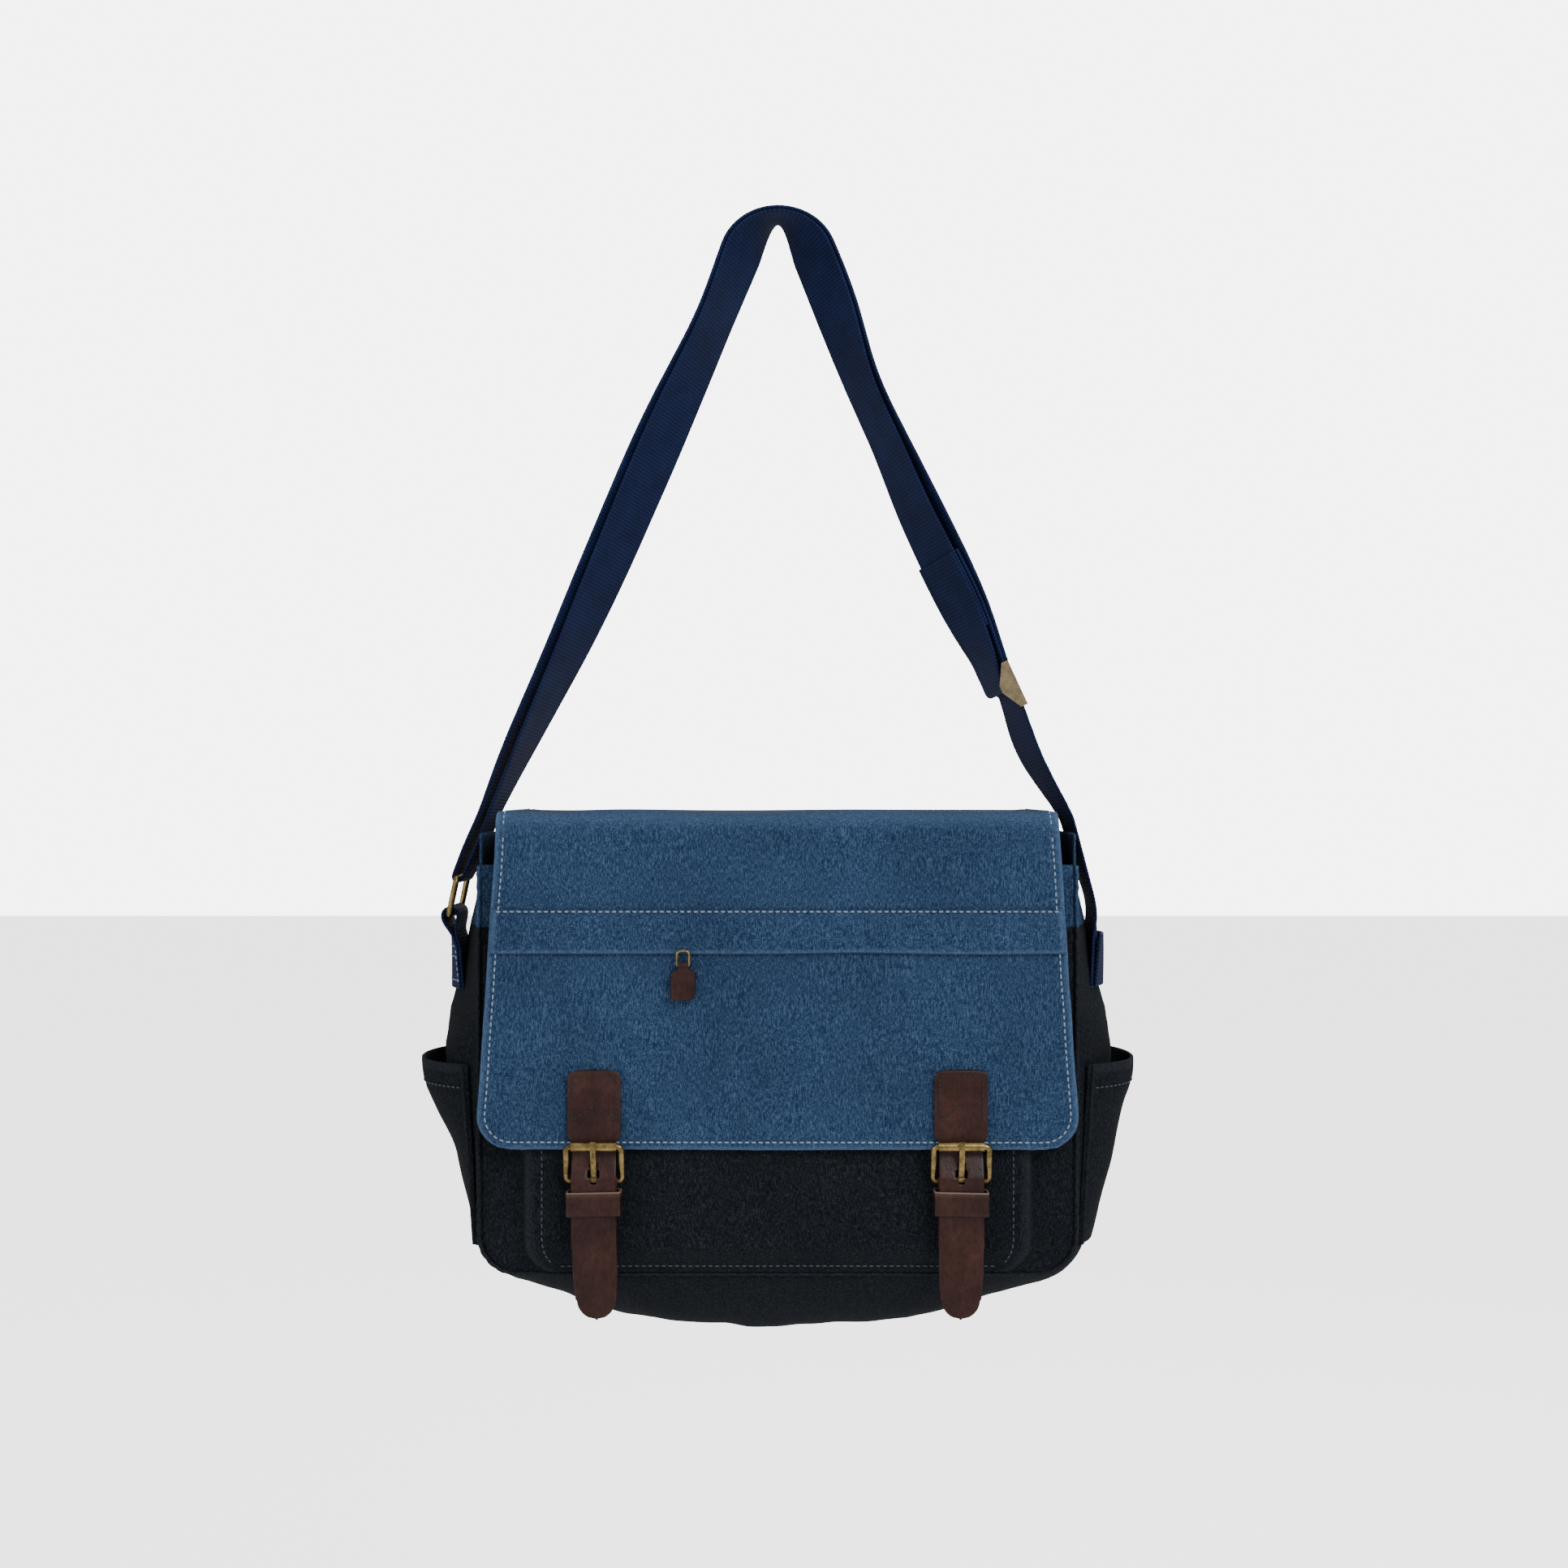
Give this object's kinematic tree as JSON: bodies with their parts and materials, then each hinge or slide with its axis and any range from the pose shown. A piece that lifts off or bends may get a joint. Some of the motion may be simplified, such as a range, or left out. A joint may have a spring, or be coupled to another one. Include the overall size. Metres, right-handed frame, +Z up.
{
  "type": "messenger bag",
  "caption": "Canvas messenger bag hanging by its webbing shoulder strap, with a buckled flap, a hidden zip pocket and side pockets.",
  "frame": {"origin": "underside of the strap's top fold, where a hook carries the bag", "axes": "+Z up, -Y the front of the bag, X across it"},
  "size_m": [0.42, 0.1173, 0.6566],
  "materials": {
    "blue_canvas": "washed blue canvas with fine upright light threads",
    "dark_canvas": "matt blue-black canvas",
    "webbing": "navy webbing with fine cross ribs",
    "leather": "waxed brown leather with a soft sheen",
    "antique_brass": "dark aged brass",
    "pale_brass": "satin pale brass",
    "snap_metal": "satin",
    "zip_tape": "woven zip tape",
    "zip_coil": "nylon coil"
  },
  "bodies": {
    "bag": {"front_panel": "dark_canvas", "back_panel": "dark_canvas", "left_gusset": "dark_canvas", "right_gusset": "dark_canvas", "base_gusset": "dark_canvas", "front_pocket": "dark_canvas", "left_side_pocket": "dark_canvas", "right_side_pocket": "dark_canvas", "shoulder_strap": "webbing", "left_strap_tab": "webbing", "right_strap_patch": "webbing", "flap_cover": "blue_canvas", "left_snap_socket": "snap_metal", "right_snap_socket": "snap_metal"},
    "flap": {"flap_upper_panel": "blue_canvas", "flap_lower_panel": "blue_canvas", "flap_lining": "dark_canvas", "flap_placket": "blue_canvas", "placket_fold": "blue_canvas", "zip_tape": "zip_tape", "zip_coil": "zip_coil", "left_leather_strap": "leather", "right_leather_strap": "leather", "left_chape": "leather", "right_chape": "leather", "left_buckle_frame": "antique_brass", "right_buckle_frame": "antique_brass", "left_snap_stud": "snap_metal", "right_snap_stud": "snap_metal"},
    "zip_slider": {"zip_slider": "antique_brass"},
    "zip_pull": {"zip_pull_link": "antique_brass", "zip_pull_leather": "leather"},
    "strap_ring": {"strap_ring": "antique_brass"},
    "strap_slider": {"strap_slider": "pale_brass", "strap_end_loop": "webbing"},
    "left_roller": {"left_buckle_roller": "antique_brass"},
    "left_prong": {"left_buckle_prong": "antique_brass"},
    "left_keeper": {"left_keeper": "leather"},
    "right_roller": {"right_buckle_roller": "antique_brass"},
    "right_prong": {"right_buckle_prong": "antique_brass"},
    "right_keeper": {"right_keeper": "leather"}
  },
  "joints": [
    {"name": "flap_lift", "type": "hinge", "parent": "bag", "child": "flap", "pos_m": [0, -0.0626, -0.3592], "axis": [-1, 0, 0], "range_deg": [0, 150]},
    {"name": "zip_slide", "type": "slide", "parent": "flap", "child": "zip_slider", "axis": [1, 0, 0], "range_m": [-0.08, 0.185]},
    {"name": "zip_pull_swing", "type": "hinge", "parent": "zip_slider", "child": "zip_pull", "pos_m": [-0.053, -0.0657, -0.4275], "axis": [-1, 0, 0], "range_deg": [0, 90]},
    {"name": "ring_swing", "type": "hinge", "parent": "bag", "child": "strap_ring", "pos_m": [-0.18637, 0, -0.38797], "axis": [0, 1, 0], "range_deg": [-4, 4]},
    {"name": "strap_adjust", "type": "slide", "parent": "bag", "child": "strap_slider", "axis": [-0.4195, 0, 0.9078], "range_m": [-0.015, 0.015]},
    {"name": "left_roller_spin", "type": "hinge", "parent": "flap", "child": "left_roller", "pos_m": [-0.103, -0.0673, -0.5365], "axis": [1, 0, 0], "continuous": true},
    {"name": "left_prong_lift", "type": "hinge", "parent": "flap", "child": "left_prong", "pos_m": [-0.103, -0.0628, -0.556], "axis": [1, 0, 0], "range_deg": [0, 15]},
    {"name": "left_keeper_slide", "type": "slide", "parent": "flap", "child": "left_keeper", "axis": [0, 0, 1], "range_m": [-0.003, 0.002]},
    {"name": "right_roller_spin", "type": "hinge", "parent": "flap", "child": "right_roller", "pos_m": [0.103, -0.0673, -0.5365], "axis": [1, 0, 0], "continuous": true},
    {"name": "right_prong_lift", "type": "hinge", "parent": "flap", "child": "right_prong", "pos_m": [0.103, -0.0628, -0.556], "axis": [1, 0, 0], "range_deg": [0, 15]},
    {"name": "right_keeper_slide", "type": "slide", "parent": "flap", "child": "right_keeper", "axis": [0, 0, 1], "range_m": [-0.003, 0.002]}
  ]
}
